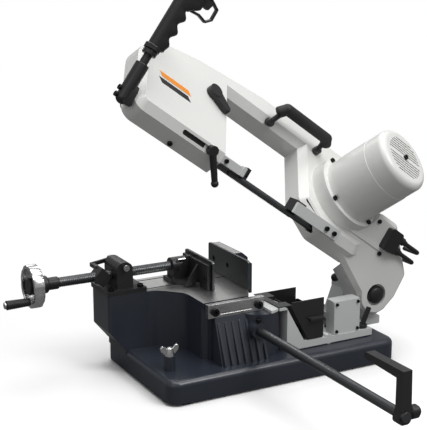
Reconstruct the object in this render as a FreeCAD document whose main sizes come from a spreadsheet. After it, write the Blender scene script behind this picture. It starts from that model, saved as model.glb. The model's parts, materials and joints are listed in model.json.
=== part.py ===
import FreeCAD, Part
import math
import os
import Sketcher
from FreeCAD import Placement, Rotation, Vector

# Swivel-head metal-cutting band saw, millimetres, head shown raised.
# World axes: +X along the vise screw towards the head pivot, +Y away from the operator, +Z up.
# The origin is the centre of the four foot bolts, on the floor plane.

doc = FreeCAD.newDocument("band_saw")

# ---------------------------------------------------------------- driving dimensions

SIZES = [
    ("slab_length", 528), ("slab_depth", 304), ("slab_top", 50), ("foot_height", 5),
    ("bolt_spacing_x", 450), ("bolt_spacing_y", 244), ("bolt_hole_radius", 5.5),
    ("casting_wall", 8), ("table_top", 168), ("table_skin", 12), ("neck_front", 52),
    ("neck_back", 138), ("neck_left", 299), ("table_left", 150), ("table_front", 70),
    ("swivel_x", -28), ("swivel_y", -72), ("pedestal_top", 140), ("pedestal_radius", 44),
    ("spigot_radius", 16), ("running_gap", 0.05),
    ("screw_y", 95), ("screw_z", 201), ("screw_radius", 10), ("jaw_height", 59.5),
    ("jaw_thickness", 5), ("jaw_face_x", -92), ("fixed_jaw_x", -30), ("jaw_depth", 122),
    ("fixed_jaw_depth", 170), ("handwheel_radius", 43), ("rod_radius", 9),
    ("pivot_x", 260), ("pivot_z", 125), ("rest_tilt", 35.3), ("pivot_radius", 12),
    ("wheel_radius", 100), ("wheel_width", 16), ("drive_u", 170), ("idler_u", 608),
    ("blade_y", -72), ("blade_w", 40), ("blade_width", 13), ("blade_thickness", 0.7),
    ("bow_front", 28), ("bow_back", 20), ("bow_wall", 4), ("bow_chamfer", 15),
    ("motor_radius", 70), ("motor_start", 52), ("motor_split", 157), ("motor_end", 206),
    ("plate_bottom", 52), ("plate_top", 66), ("arm_front", -112), ("arm_back", -45),
    ("tray_wall", 2.5), ("tray_rim", 148.2),
]

sheet = doc.addObject("Spreadsheet::Sheet", "Sizes")
for row, (alias, value) in enumerate(SIZES, start=1):
    sheet.set(f"A{row}", alias.replace("_", " "))
    sheet.set(f"B{row}", str(value))
    sheet.setAlias(f"B{row}", alias)
doc.recompute()


def size(alias):
    """A driving dimension, read back from the spreadsheet."""
    return float(sheet.get(alias))


def bound(text):
    """An expression on spreadsheet aliases, with the sheet's name put before each alias."""
    for alias, _ in sorted(SIZES, key=lambda item: -len(item[0])):
        text = text.replace(alias, "@" + alias.upper())
    for alias, _ in sorted(SIZES, key=lambda item: -len(item[0])):
        text = text.replace("@" + alias.upper(), "Sizes." + alias)
    return text


def bind(obj, **properties):
    """Sets each property to a number, or binds it to an expression given as text."""
    for name, value in properties.items():
        if isinstance(value, str):
            obj.setExpression(name, bound(value))
        else:
            setattr(obj, name, value)


# ---------------------------------------------------------------- frames

GAP = size("running_gap")
PIVOT = Vector(size("pivot_x"), 0, size("pivot_z"))
TILT = Rotation(Vector(0, 1, 0), size("rest_tilt"))
FLOOR = Placement()
# local x, y, z = world X, Z, -Y: outlines seen from the front, padded towards the operator
FRONT = Placement(Vector(), Rotation(Vector(1, 0, 0), 90))
# local x, y, z = world Y, Z, X: outlines seen from the right, padded towards +X
SIDE = Placement(Vector(), Rotation(Vector(0, 1, 0), Vector(0, 0, 1), Vector(1, 0, 0), "XYZ"))
# local x = u along the bow from the pivot, z = w up from the bow, y towards the operator
HEAD = Placement(PIVOT, TILT * Rotation(Vector(0, 0, 1), 180))
# local x = u, y = w, z = world +Y: outlines of the head seen from its side
HEAD_SIDE = HEAD * Placement(Vector(), Rotation(Vector(1, 0, 0), 90))
# how far the wheel centres stand behind and above the cutting strand
WHEEL_REACH = math.sqrt(0.5) * size("wheel_radius")
WHEEL_Y = size("blade_y") + WHEEL_REACH
WHEEL_W = size("blade_w") + WHEEL_REACH
# local x = u, y = down across the wheels to the cutting strand, z = n out of the wheel faces;
# the wheels lean 45 degrees
WHEEL = HEAD * Placement(Vector(0, -WHEEL_Y, WHEEL_W), Rotation(Vector(1, 0, 0), -45))


def at(frame, x=0.0, y=0.0, z=0.0, axis="z"):
    """A placement in a frame, with the local z turned onto the frame's x, y or z axis."""
    turn = {
        "z": Rotation(),
        "x": Rotation(Vector(0, 1, 0), 90),
        "y": Rotation(Vector(1, 0, 0), -90),
        "-y": Rotation(Vector(1, 0, 0), 90),
        "-x": Rotation(Vector(0, 1, 0), -90),
    }[axis]
    return frame * Placement(Vector(x, y, z), turn)


# ---------------------------------------------------------------- building blocks

parts = {}
count = {"tool": 0}


def tool_name(kind):
    count["tool"] += 1
    return f"{kind}_{count['tool']:03d}"


def box(length, width, height, place):
    """A Part::Box from the placed corner."""
    obj = doc.addObject("Part::Box", tool_name("box"))
    bind(obj, Length=length, Width=width, Height=height)
    obj.Placement = place
    return obj


def cylinder(radius, height, place):
    obj = doc.addObject("Part::Cylinder", tool_name("cylinder"))
    bind(obj, Radius=radius, Height=height)
    obj.Placement = place
    return obj


def cone(radius_1, radius_2, height, place):
    obj = doc.addObject("Part::Cone", tool_name("cone"))
    bind(obj, Radius1=radius_1, Radius2=radius_2, Height=height)
    obj.Placement = place
    return obj


def arc(bend, radius, sweep, place):
    """A bent round bar: part of a ring about the local z, starting on the local x axis."""
    obj = doc.addObject("Part::Torus", tool_name("arc"))
    bind(obj, Radius1=bend, Radius2=radius, Angle3=sweep)
    obj.Placement = place
    return obj


def ball(radius, place):
    obj = doc.addObject("Part::Sphere", tool_name("ball"))
    bind(obj, Radius=radius)
    obj.Placement = place
    return obj


def fuse(*shapes):
    obj = doc.addObject("Part::MultiFuse", tool_name("fuse"))
    obj.Shapes = list(shapes)
    return obj


def group(*shapes):
    """Separate identical solids kept together as one sub-part."""
    obj = doc.addObject("Part::Compound", tool_name("group"))
    obj.Links = list(shapes)
    return obj


def cut(base, *tools):
    obj = doc.addObject("Part::Cut", tool_name("cut"))
    obj.Base = base
    obj.Tool = tools[0] if len(tools) == 1 else fuse(*tools)
    return obj


def outline_sketch(body, outline, start):
    """A closed outline of straight lines, each corner held by two distances from the origin."""
    sketch = body.newObject("Sketcher::SketchObject", tool_name("outline"))
    plane = next(f for f in body.Origin.OriginFeatures if f.Role == "XY_Plane")
    sketch.AttachmentSupport = [(plane, "")]
    sketch.MapMode = "FlatFace"
    if isinstance(start, str):
        sketch.setExpression("AttachmentOffset.Base.z", bound(start))
    else:
        sketch.AttachmentOffset = Placement(Vector(0, 0, start), Rotation())
    corners = len(outline)
    for i in range(corners):
        a, b = (2 * math.pi * k / corners for k in (i, i + 1))
        ends = [Vector(50 * math.cos(t), 50 * math.sin(t), 0) for t in (a, b)]
        sketch.addGeometry(Part.LineSegment(*ends), False)
    for i in range(corners):
        sketch.addConstraint(Sketcher.Constraint("Coincident", i, 2, (i + 1) % corners, 1))
    for i, corner in enumerate(outline):
        for kind, value in zip(("DistanceX", "DistanceY"), corner):
            number = 1.0 + i if isinstance(value, str) else float(value)
            index = sketch.addConstraint(Sketcher.Constraint(kind, i, 1, number))
            if isinstance(value, str):
                sketch.setExpression(f"Constraints[{index}]", bound(value))
    return sketch


def pad_body(name, outline, start, length, place, rounds=()):
    """A PartDesign body: an outline padded along its local z, with rounded upright edges.

    rounds holds (corner indices, radius) pairs.
    """
    body = doc.addObject("PartDesign::Body", name)
    sketch = outline_sketch(body, outline, start)
    pad = body.newObject("PartDesign::Pad", tool_name("pad"))
    pad.Profile = sketch
    bind(pad, Length=length)
    sketch.Visibility = False
    doc.recompute()
    corners = [sketch.getPoint(i, 1) for i in range(len(outline))]
    for indices, radius in rounds:
        tip = body.Tip
        chosen = []
        for i in indices:
            for k, edge in enumerate(tip.Shape.Edges, start=1):
                ends = [v.Point for v in edge.Vertexes]
                if len(ends) != 2 or abs(ends[0].z - ends[1].z) < 0.01:
                    continue
                if all(math.hypot(p.x - corners[i].x, p.y - corners[i].y) < 0.01 for p in ends):
                    chosen.append(f"Edge{k}")
        fillet = body.newObject("PartDesign::Fillet", tool_name("fillet"))
        fillet.Base = (tip, chosen)
        bind(fillet, Radius=radius)
        doc.recompute()
    body.Placement = place
    return body


def dress(body, kind, choose, amount):
    """Adds a PartDesign fillet or chamfer to the edges that choose(edge) picks, in body axes."""
    tip = body.Tip
    names = [f"Edge{k}" for k, e in enumerate(tip.Shape.Edges, start=1) if choose(e)]
    feature = body.newObject(f"PartDesign::{kind}", tool_name(kind.lower()))
    feature.Base = (tip, names)
    bind(feature, **({"Radius": amount} if kind == "Fillet" else {"Size": amount}))
    doc.recompute()
    return body


def turned(name, profile, place):
    """A PartDesign revolution of (radius, height) corners about the local z axis."""
    body = doc.addObject("PartDesign::Body", name)
    sketch = outline_sketch(body, profile, 0)
    plane = next(f for f in body.Origin.OriginFeatures if f.Role == "XZ_Plane")
    sketch.AttachmentSupport = [(plane, "")]
    turn = body.newObject("PartDesign::Revolution", tool_name("turn"))
    turn.Profile = sketch
    turn.ReferenceAxis = (sketch, ["V_Axis"])
    turn.Angle = 360
    sketch.Visibility = False
    doc.recompute()
    body.Placement = place
    return body


def part(name, obj):
    """Names a finished sub-part."""
    obj.Label = name
    parts[name] = obj
    return obj


def hexagon_prism(circumradius, height, place):
    obj = doc.addObject("Part::Prism", tool_name("hexagon"))
    obj.Polygon = 6
    bind(obj, Circumradius=circumradius, Height=height)
    obj.Placement = place
    return obj


def socket_screw(radius, length, place, head=1.7, cap=1.6):
    """A cap screw: the head stands on the placed point, the shank goes down the local -z.

    head and cap are the head's radius and height as multiples of the shank's radius.
    """
    shank = cylinder(radius, length, place * Placement(Vector(0, 0, -length), Rotation()))
    top = cylinder(radius * head, radius * cap, place)
    floor = Placement(Vector(0, 0, radius * cap * 0.45), Rotation())
    socket = hexagon_prism(radius * 0.85, radius * cap, place * floor)
    return cut(fuse(shank, top), socket)


def screw_hole(radius, length, place):
    """The clearance hole for a cap screw's shank."""
    return cylinder(radius + GAP, length + 0.5,
                    place * Placement(Vector(0, 0, -length - 0.5), Rotation()))


# ---------------------------------------------------------------- base

AXIS_X, AXIS_Y = size("swivel_x"), size("swivel_y")
TABLE = size("table_top")
SCREW_Y, SCREW_Z = size("screw_y"), size("screw_z")
ROD_X, ROD_Z = -52, 110
ROD_CLAMP_Y = -117
FIXED_JAW_SCREWS = (50, 110)
BRACKET_SCREWS = [(x, y) for x in (-290, -226) for y in (60, 130)]


def base_casting():
    half_l, half_d = "slab_length / 2", "slab_depth / 2"
    minus_l, minus_d = "-slab_length / 2", "-slab_depth / 2"
    slab = pad_body("slab",
                    [(minus_l, minus_d), (half_l, minus_d), (half_l, half_d), (minus_l, half_d)],
                    "foot_height", "slab_top - foot_height", FLOOR, [((0, 1, 2, 3), 25)])
    dress(slab, "Fillet", lambda e: all(abs(v.Z - size("slab_top")) < 0.01 for v in e.Vertexes), 12)
    hollow = box("slab_length - 2 * casting_wall - 30", "slab_depth - 2 * casting_wall - 30",
                 "slab_top - 22",
                 at(FLOOR, -size("slab_length") / 2 + 23, -size("slab_depth") / 2 + 23, 0))
    # the tower's right side follows the 60 degree swing of the console
    tower = pad_body("tower",
                     [(-140, "-table_front"), (-58, "-table_front"), (-58, -33), (-82, -33),
                      (18, "neck_back"), ("-neck_left", "neck_back"), ("-neck_left", "neck_front"),
                      (-196, "neck_front"), ("-table_left", 6), ("-table_left", -62)],
                     40, "table_top - table_skin - 40", FLOOR,
                     [((7,), 45), ((8,), 40), ((9, 0), 8), ((5, 6), 6)])
    tower_core = pad_body("tower_core",
                          [(-132, -62), (-82, -62), (-82, 10), (-40, 80), (-6, 128),
                           (-255, 128), (-255, 62), (-186, 62), (-141, 20), (-141, -60)],
                          20, "table_top - table_skin - 20", FLOOR)
    table = pad_body("table",
                     [("-table_left", "-table_front"), (-48, "-table_front"), (-3, 8), (12, 30),
                      (12, "neck_back"), ("-neck_left", "neck_back"), ("-neck_left", "neck_front"),
                      (-196, "neck_front"), ("-table_left", 6)],
                     "table_top - table_skin", "table_skin", FLOOR,
                     [((7,), 45), ((8,), 40), ((2, 3), 12), ((5, 6), 6)])
    ledge = pad_body("ledge", [(-140, -70), (-30, -70), (-30, -82), (-140, -82)],
                     40, "pedestal_top - 40", FLOOR)
    # ribbed front block, seen from the right: its face slopes out to the slab
    block = pad_body("ribbed_block", [(-70, 40), (-124, 40), (-122, "slab_top"), (-90, "pedestal_top"),
                                      (-70, "pedestal_top")], -136, 102, SIDE)
    ribs = [pad_body(f"rib_{i}", [(-80, 44), (-128, 44), (-126, 56), (-95, 130), (-80, 134)],
                     -132 + 15.5 * i, 5, SIDE) for i in range(7)]
    pedestal = cylinder("pedestal_radius", "pedestal_top - 30", at(FLOOR, AXIS_X, AXIS_Y, 30))
    rod_boss = cylinder("rod_radius + 7", 46, at(FLOOR, ROD_X, -122, ROD_Z, "y"))
    solid = fuse(slab, tower, table, ledge, block, *ribs, pedestal, rod_boss)

    under_neck = pad_body("under_neck",
                          [(-320, 20), (-264, 20), (-264, 51), (-301, 96), (-320, 96)],
                          -size("neck_back") - 5, 110, FRONT)
    spigot_bore = cylinder("spigot_radius + running_gap", 21, at(FLOOR, AXIS_X, AXIS_Y, 120))
    bolt_bore = cylinder(6.2, 60, at(FLOOR, AXIS_X, AXIS_Y, 80))
    bolt_well = cylinder(26, 98, at(FLOOR, AXIS_X, AXIS_Y, 5))
    rod_bore = cylinder("rod_radius + running_gap", 120, at(FLOOR, ROD_X, -140, ROD_Z, "y"))
    clamp_bore = cylinder(3 + GAP, 40, at(FLOOR, ROD_X, ROD_CLAMP_Y, ROD_Z + 6))
    block_core = box(46, 30, 90, at(FLOOR, -124, -92, 20))
    rails = [box(280, 4, 4, at(FLOOR, -290, y, TABLE - 4)) for y in (66, 122)]
    corners = [(x * size("bolt_spacing_x") / 2, y * size("bolt_spacing_y") / 2)
               for x in (-1, 1) for y in (-1, 1)]
    bolt_holes = [cylinder("bolt_hole_radius", 31, at(FLOOR, x, y, -1)) for x, y in corners]
    disc_room = cylinder("pedestal_radius + 2", "table_top - table_skin - pedestal_top",
                         at(FLOOR, AXIS_X, AXIS_Y, size("pedestal_top")))
    wing_boss = cylinder(11, 30, at(FLOOR, -232, -84, 48))
    wing_bore = cylinder(4 + GAP, 26, at(FLOOR, -232, -84, 58))
    feet = [cylinder(24, 12, at(FLOOR, x, y, 0)) for x, y in corners]
    posts = [cylinder(14, 40, at(FLOOR, x, y, 0)) for x, y in corners]
    jaw_rest = pad_body("jaw_rest", [(-25, 160), (10, 160), (10, 214), (-4, 226), (-25, 226)],
                        -132, 98, FRONT, [((2,), 6), ((3,), 8)])
    jaw_rib = pad_body("jaw_rib", [(-25, 160), (-19.5, 160), (-19.5, 222), (-25, 226)],
                       -60, 94, FRONT)
    jaw_holes = [cylinder(4 + GAP, 30, at(FLOOR, -33, y, 198, "x")) for y in FIXED_JAW_SCREWS]
    plate_holes = [cylinder(4 + GAP, 30, at(FLOOR, x, y, TABLE - 8.5)) for x, y in BRACKET_SCREWS]
    drilled = cut(solid, hollow, tower_core, under_neck, block_core)
    body = fuse(drilled, *feet, *posts, wing_boss, jaw_rest, jaw_rib)
    whole = cut(body, spigot_bore, bolt_bore, bolt_well, rod_bore, clamp_bore, disc_room, wing_bore,
                *rails, *bolt_holes, *jaw_holes, *plate_holes)
    return part("base_casting", whole)


def fixed_jaw():
    top = "table_top + jaw_height + 0.5"
    plate = pad_body("fixed_jaw_blank", [(-36, 168.5), (134, 168.5), (134, top), (-36, top)],
                     "fixed_jaw_x", "jaw_thickness - 0.02", SIDE, [((2, 3), 5)])
    seat = size("fixed_jaw_x") + 3.8
    holes = [cylinder(4 + GAP, 12, at(FLOOR, seat - 2, y, 198, "x")) for y in FIXED_JAW_SCREWS]
    sinks = [cylinder(6, 12, at(FLOOR, seat, y, 198, "-x")) for y in FIXED_JAW_SCREWS]
    part("fixed_jaw_plate", cut(plate, *holes, *sinks))
    return [socket_screw(4, 20, at(FLOOR, seat, y, 198, "-x"), 1.4, 0.9) for y in FIXED_JAW_SCREWS]


def vise_bracket():
    plate = box(86, 86, 10, at(FLOOR, -301, 52, TABLE))
    seat = "table_top + 9"
    arch = pad_body("bracket_arch", [(-275, seat), (-240, seat), (-240, 232), (-275, 232)],
                    -127, 64, FRONT, [((2, 3), 16)])
    bore = cylinder("screw_radius + running_gap", 140, at(FLOOR, -330, SCREW_Y, SCREW_Z, "x"))
    pin_bore = cylinder(4 + GAP, 80, at(FLOOR, -257.5, 55, 222, "y"))
    holes = [cylinder(4 + GAP, 20, at(FLOOR, x, y, TABLE - 4)) for x, y in BRACKET_SCREWS]
    part("vise_bracket", cut(fuse(plate, arch), bore, pin_bore, *holes))
    return [socket_screw(4, 17, at(FLOOR, x, y, TABLE + 10), 1.5) for x, y in BRACKET_SCREWS]


def half_nut():
    """The quick-release half nut: a square block on edge over the screw, on a rod to the bracket's pin."""
    block = pad_body("half_nut_block", [(-318, 200), (-298, 180), (-278, 200), (-298, 222)],
                     -SCREW_Y - 15, 30, FRONT, [((0, 1, 2, 3), 3)])
    bore = cylinder("screw_radius + running_gap", 60, at(FLOOR, -325, SCREW_Y, SCREW_Z, "x"))
    side = SCREW_Y - size("screw_radius") - 0.2
    mouth = box(60, "2 * screw_radius + 0.4", 40, at(FLOOR, -325, side, SCREW_Z - 40))
    arm = pad_body("half_nut_arm",
                   [(-304, 212), (-262, 218), (-252, 218), (-252, 226), (-262, 226), (-304, 220)],
                   -135, 5, FRONT)
    bridge = box(8, 32, 8, at(FLOOR, -304, 103, 212))
    pin_hole = cylinder(4 + GAP, 10, at(FLOOR, -257.5, 127, 222, "y"))
    release = fuse(cut(block, bore, mouth), arm, bridge)
    part("half_nut", cut(release, pin_hole))
    pin = fuse(cylinder(4, 82, at(FLOOR, -257.5, 56, 222, "y")),
               cylinder(6.5, 4, at(FLOOR, -257.5, 138, 222, "y")),
               cylinder(6.5, 3, at(FLOOR, -257.5, 53, 222, "y")))
    part("half_nut_pin", pin)


def vise_screw():
    screw = cylinder("screw_radius", 325, at(FLOOR, -440, SCREW_Y, SCREW_Z, "x"))
    collar = cylinder("screw_radius - 3", 18, at(FLOOR, -116, SCREW_Y, SCREW_Z, "x"))
    part("vise_screw", fuse(screw, collar))
    hub = turned("handwheel_hub", [(10.05, -12), (17, -12), (17, 30), (13, 50), (10.05, 50)],
                 at(FLOOR, -440, SCREW_Y, SCREW_Z, "x"))
    disc = cylinder("handwheel_radius - 4", 5, at(FLOOR, -440, SCREW_Y, SCREW_Z, "x"))
    disc_bore = cylinder(16, 7, at(FLOOR, -441, SCREW_Y, SCREW_Z, "x"))
    rim = cut(cylinder("handwheel_radius", 22, at(FLOOR, -451, SCREW_Y, SCREW_Z, "x")),
              cylinder("handwheel_radius - 7", 24, at(FLOOR, -452, SCREW_Y, SCREW_Z, "x")))
    lobes = [cylinder(9, 24, at(FLOOR, -452, SCREW_Y + 49 * math.cos(math.radians(a)),
                                SCREW_Z + 49 * math.sin(math.radians(a)), "x")) for a in range(30, 390, 60)]
    pin_bore = cylinder(4, 40, at(FLOOR, -460, CRANK_Y, CRANK_Z, "x"))
    wheel = cut(fuse(hub, cut(disc, disc_bore), cut(rim, *lobes)), pin_bore)
    part("handwheel", wheel)
    pin = fuse(cylinder(4, 66, at(FLOOR, -503, CRANK_Y, CRANK_Z, "x")),
               cylinder(6.5, 3, at(FLOOR, -506, CRANK_Y, CRANK_Z, "x")))
    part("crank_pin", pin)
    grip = cut(cone(9.5, 8, 48, at(FLOOR, -502.5, CRANK_Y, CRANK_Z, "x")),
               cylinder(4 + GAP, 60, at(FLOOR, -508, CRANK_Y, CRANK_Z, "x")))
    part("crank_grip", grip)


CRANK_RADIUS = 31
CRANK_Y = SCREW_Y - CRANK_RADIUS * math.cos(math.radians(52))
CRANK_Z = SCREW_Z - CRANK_RADIUS * math.sin(math.radians(52))
JAW_FRONT = -9


def moving_jaw():
    face = size("jaw_face_x")
    top, rear = "table_top + jaw_height + 0.5", "jaw_depth - 9"
    plate = pad_body("moving_jaw_blank",
                     [(JAW_FRONT, 168.5), (rear, 168.5), (rear, top), (JAW_FRONT, top)],
                     "jaw_face_x - jaw_thickness", "jaw_thickness", SIDE, [((2, 3), 5)])
    screw_places = [(10, 190), (70, 218)]
    holes = [cylinder(3 + GAP, 30, at(FLOOR, face - 28, y, z, "x")) for y, z in screw_places]
    seat = face - 3.2
    sinks = [cylinder(5, 10, at(FLOOR, seat, y, z, "x")) for y, z in screw_places]
    part("moving_jaw_plate", cut(plate, *holes, *sinks))
    back = face - size("jaw_thickness") - 0.02
    foot = pad_body("jaw_foot", [(back, 24), (back, 113), (back - 52, 113), (back - 52, 76)],
                    168.6, 8, FLOOR)
    wall = box(8, 110, 52, at(FLOOR, back - 8, -2, 168.6))
    boss = cylinder(17, 44, at(FLOOR, back - 44, SCREW_Y, SCREW_Z, "x"))
    web = pad_body("jaw_web", [(back - 50, 170), (back, 170), (back, 222), (back - 14, 222)],
                   -82, 6, FRONT)
    front_web = pad_body("jaw_front_web",
                         [(back - 40, 170), (back, 170), (back, 214), (back - 8, 214)],
                         -44, 6, FRONT)
    saddle = box(40, 30, 32, at(FLOOR, back - 44, SCREW_Y - 15, 169))
    bore = cylinder("screw_radius - 3 + running_gap", 60,
                    at(FLOOR, back - 58, SCREW_Y, SCREW_Z, "x"))
    mouth = cylinder("screw_radius + running_gap", 30, at(FLOOR, -144.95, SCREW_Y, SCREW_Z, "x"))
    part("moving_jaw", cut(fuse(foot, wall, boss, web, front_web, saddle), bore, mouth, *holes))
    part("moving_jaw_screws", group(*[socket_screw(3, 8, at(FLOOR, seat, y, z, "x"), 1.5, 1.0)
                                      for y, z in screw_places]))


def stop():
    part("stop_rod", cylinder("rod_radius", 527, at(FLOOR, ROD_X, -589, ROD_Z, "y")))
    arm = pad_body("stop_arm_blank",
                   [(ROD_X - 14, ROD_Z - 16), (ROD_X + 14, ROD_Z - 16), (ROD_X + 14, ROD_Z + 12),
                    (ROD_X + 12, ROD_Z + 78), (ROD_X - 6, ROD_Z + 78), (ROD_X - 6, ROD_Z + 12)],
                   565, 18, FRONT, [((0, 1), 9), ((3, 4), 4)])
    finger = pad_body("stop_finger",
                      [(-583, ROD_Z + 62), (-565, ROD_Z + 62), (-480, ROD_Z + 66),
                       (-474, ROD_Z + 72), (-480, ROD_Z + 78), (-583, ROD_Z + 78)],
                      ROD_X - 6, 18, SIDE)
    bore = cylinder("rod_radius + running_gap", 40, at(FLOOR, ROD_X, -600, ROD_Z, "y"))
    screw_bore = cylinder(4 + GAP, 20, at(FLOOR, ROD_X + 8, -574, ROD_Z, "x"))
    part("stop_arm", cut(fuse(arm, finger), bore, screw_bore))
    knob = fuse(cylinder(4, 26, at(FLOOR, ROD_X + 9.2, -574, ROD_Z, "x")),
                turned("stop_knob_head",
                       [(0, 14.5), (9, 14.5), (12, 18), (12, 30), (8, 35), (0, 35)],
                       at(FLOOR, ROD_X, -574, ROD_Z, "x")))
    part("stop_knob", knob)
    screw = fuse(cylinder(3, 10, at(FLOOR, ROD_X, ROD_CLAMP_Y, ROD_Z + 9.2)),
                 cylinder(5.5, 6, at(FLOOR, ROD_X, ROD_CLAMP_Y, ROD_Z + 18.6)))
    part("rod_clamp_screw", screw)


def wing_screw():
    stud = fuse(cylinder(4, 34, at(FLOOR, -232, -84, 60)), cylinder(8, 9, at(FLOOR, -232, -84, 80)))
    wings = box(34, 3.4, 11, at(FLOOR, -232 - 17, -85.7, 82))
    part("wing_screw", fuse(stud, wings))


# ---------------------------------------------------------------- swivelling console

PLATE = size("plate_top")
BOX_X, BOX_Y = 133, -110
PLATE_BOLTS = [(150, -60), (236, -48)]
LOCK_X, LOCK_Y = 212, -96
LOCK_PIN_X, LOCK_PIN_Y, LOCK_PIN_Z = 222, 8, 147
BOX_SCREWS = [(x, z) for x in (139, 191) for z in (73, 131)]


def swivel_console():
    disc = cylinder("pedestal_radius + 1", 5.4,
                    at(FLOOR, AXIS_X, AXIS_Y, size("pedestal_top") + 0.1))
    spigot = cylinder("spigot_radius", 19.5, at(FLOOR, AXIS_X, AXIS_Y, 120.6))
    arm = pad_body("console_arm", [(0, 145.5), (16, 145.5), (60, "plate_top"), (228, "plate_top"),
                                   (228, "plate_bottom"), (18, "plate_bottom"), (18, 140.1), (0, 140.1)],
                   "-arm_back", "arm_back - arm_front", FRONT, [((1,), 6), ((2,), 8)])
    rear_plate = pad_body("console_rear_plate", [(200, -60), (292, -60), (292, 38), (200, 38)],
                          "plate_bottom", "plate_top - plate_bottom", FLOOR, [((1, 2), 12)])
    upright = pad_body("console_upright",
                       [(200, 58), (292, 58), (292, 125), (260, 157), (228, 125), (206, 66)],
                       -38, 48, FRONT, [((2, 3, 4), 14)])
    boss = cylinder(33, 52, at(FLOOR, PIVOT.x, -12, PIVOT.z, "y"))
    pad = cylinder(10, 18, at(FLOOR, 120, -112.1, 60.5, "y"))
    shaft_bore = cylinder("pivot_radius", 80, at(FLOOR, PIVOT.x, -20, PIVOT.z, "y"))
    bar_notch = box(60, 60, 20, at(FLOOR, -82, -136, 139))
    bolt_bore = cylinder(6, 22, at(FLOOR, AXIS_X, AXIS_Y, 118))
    bolt_holes = [screw_hole(4, 10, at(FLOOR, x, y, PLATE)) for x, y in PLATE_BOLTS]
    pin_bore = cylinder(5 + GAP, 38, at(FLOOR, LOCK_PIN_X + 4, LOCK_PIN_Y, LOCK_PIN_Z, "x"))
    lever_bore = cylinder(5 + GAP, 30, at(FLOOR, LOCK_X, LOCK_Y, 45))
    whole = fuse(disc, spigot, arm, rear_plate, upright, boss, pad)
    part("swivel_console", cut(whole, shaft_bore, bar_notch, bolt_bore, lever_bore, *bolt_holes, pin_bore))
    bolt = fuse(cylinder(6, 29, at(FLOOR, AXIS_X, AXIS_Y, 102.9)),
                cylinder(10, 9, at(FLOOR, AXIS_X, AXIS_Y, 93.9)))
    part("swivel_bolt", bolt)


def kerf_bar():
    """The replaceable bar whose back face and the table's front edge form the blade slot."""
    bar = pad_body("kerf_bar_blank", [(-149, -88), (-22, -88), (-22, -76), (-149, -76)], 140.2, 27.8, FLOOR)
    recess = box(72, 5.5, 17, at(FLOOR, -122, -92, 146))
    heads = [at(FLOOR, x, -88, 153, "-y") for x in (-135, -36)]
    tip = [cylinder(4 + GAP, 7, at(FLOOR, x, -88, 153, "y")) for x in (-135, -36)]
    part("kerf_bar", cut(bar, recess, *tip))
    return [socket_screw(4, 6, p, 2.0) for p in heads]


def electrical_box():
    shell = cut(box(64, 25.4, 71, at(FLOOR, BOX_X, BOX_Y + 4, PLATE + 0.1)),
                box(60, 23.4, 67, at(FLOOR, BOX_X + 2, BOX_Y + 4, PLATE + 2.1)))
    corners = [cylinder(4, 23, at(FLOOR, x, BOX_Y + 4, z, "y")) for x, z in BOX_SCREWS]
    bores = [cylinder(2 + GAP, 16, at(FLOOR, x, BOX_Y - 4, z, "y")) for x, z in BOX_SCREWS]
    part("electrical_box", cut(fuse(shell, *corners), *bores))
    low, high = PLATE + 0.1, PLATE + 71.1
    cover = pad_body("electrical_cover_blank",
                     [(BOX_X, low), (BOX_X + 64, low), (BOX_X + 64, high), (BOX_X, high)],
                     -BOX_Y - 4, 4, FRONT, [((0, 1, 2, 3), 4)])
    part("electrical_box_cover", cut(cover, *bores))
    part("electrical_box_screws", group(*[socket_screw(2, 10, at(FLOOR, x, BOX_Y, z, "-y"), 1.6)
                                          for x, z in BOX_SCREWS]))


def chip_tray():
    outline = [(70, 67), (107, 67), (107, "tray_rim"), (-2, "tray_rim"), (-2, "tray_rim - tray_wall"),
               (27, "tray_rim - tray_wall")]
    outer = pad_body("tray_outer", outline, 12, 98, FRONT, [((0, 1), 4)])
    inner = pad_body("tray_inner", [(71, "67 + tray_wall"), ("107 - tray_wall", "67 + tray_wall"),
                                    ("107 - tray_wall", 160), (29, 160), (29, "tray_rim - 3")],
                     "12 + tray_wall", "98 - 2 * tray_wall", FRONT)
    lip = box(78, "tray_wall", 5, at(FLOOR, 29, -110, size("tray_rim") - 0.5))
    window = box(20, 92, 40, at(FLOOR, 100, -100, 122))
    grip = pad_body("tray_grip", [(70, 108), (104, 108), (104, 114), (70, 114)], 110, 9, FRONT)
    # a shallow dip in the left wall lets the lowered bow pass
    dip = box(110, 41, 12, at(FLOOR, 12, -85, 143))
    part("chip_tray", fuse(cut(fuse(outer, grip), inner, window, dip), lip))


def console_hardware():
    pivot = at(FLOOR, PIVOT.x, -72.1, PIVOT.z, "y")
    head = cylinder(19, 7, at(FLOOR, PIVOT.x, -79.1, PIVOT.z, "y"))
    shaft = cylinder("pivot_radius", 123, pivot)
    part("pivot_shaft", fuse(shaft, head))
    nut = hexagon_prism(19, 8, at(FLOOR, PIVOT.x, 43, PIVOT.z, "y"))
    flange = cylinder(20, 3, at(FLOOR, PIVOT.x, 40.1, PIVOT.z, "y"))
    part("pivot_nut", cut(fuse(nut, flange), cylinder("pivot_radius + running_gap", 20,
                                                      at(FLOOR, PIVOT.x, 38, PIVOT.z, "y"))))
    pin = fuse(cylinder(5, 40, at(FLOOR, LOCK_PIN_X, LOCK_PIN_Y, LOCK_PIN_Z, "x")),
               ball(9, at(FLOOR, LOCK_PIN_X - 8, LOCK_PIN_Y, LOCK_PIN_Z)))
    part("head_lock_pin", pin)
    stem = cylinder(5, 19, at(FLOOR, LOCK_X, LOCK_Y, 50.3))
    hub = cylinder(12, 7, at(FLOOR, LOCK_X, LOCK_Y, PLATE + 0.2))
    arm = pad_body("lock_lever_arm", [(208, 68), (217, 68), (234, 106), (227, 109)],
                   -LOCK_Y - 4, 8, FRONT, [((2, 3), 2)])
    part("swivel_lock_lever", fuse(stem, hub, arm))
    return [socket_screw(4, 10, at(FLOOR, x, y, PLATE), 1.6) for x, y in PLATE_BOLTS]


# ---------------------------------------------------------------- bow, raised on the pivot

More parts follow.
